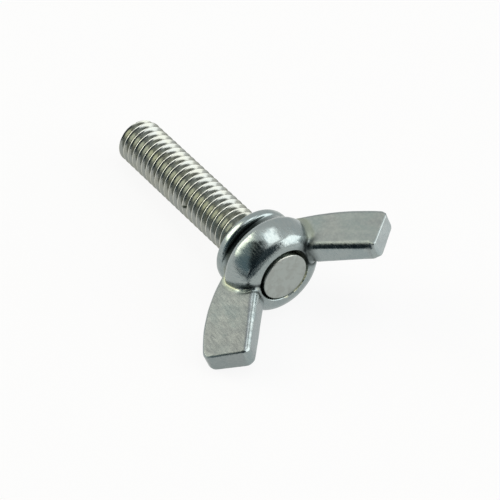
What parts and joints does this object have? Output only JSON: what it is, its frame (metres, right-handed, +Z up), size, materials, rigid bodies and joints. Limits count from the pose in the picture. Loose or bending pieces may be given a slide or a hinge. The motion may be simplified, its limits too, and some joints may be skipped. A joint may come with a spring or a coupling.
{
  "type": "wing screw",
  "caption": "Wing screw: a fully threaded metric stud fixed in a cast wing head with a round flange, domed hub and angled wings, for tightening by hand.",
  "frame": {"origin": "centre of the flange's seat face, on the screw's axis; the floor it lies on is about 5.7 mm below", "axes": "+Z up with the screw lying at rest, +Y along the thread towards its tip (which dips about 6.5 degrees), +X on the side of the raised wing"},
  "size_m": [0.0258, 0.0384, 0.0136],
  "materials": {
    "polished_casting": "polished",
    "rolled_thread": "gloss"
  },
  "bodies": {
    "root": {"wing_head": "polished_casting", "threaded_stud": "rolled_thread"}
  },
  "joints": []
}
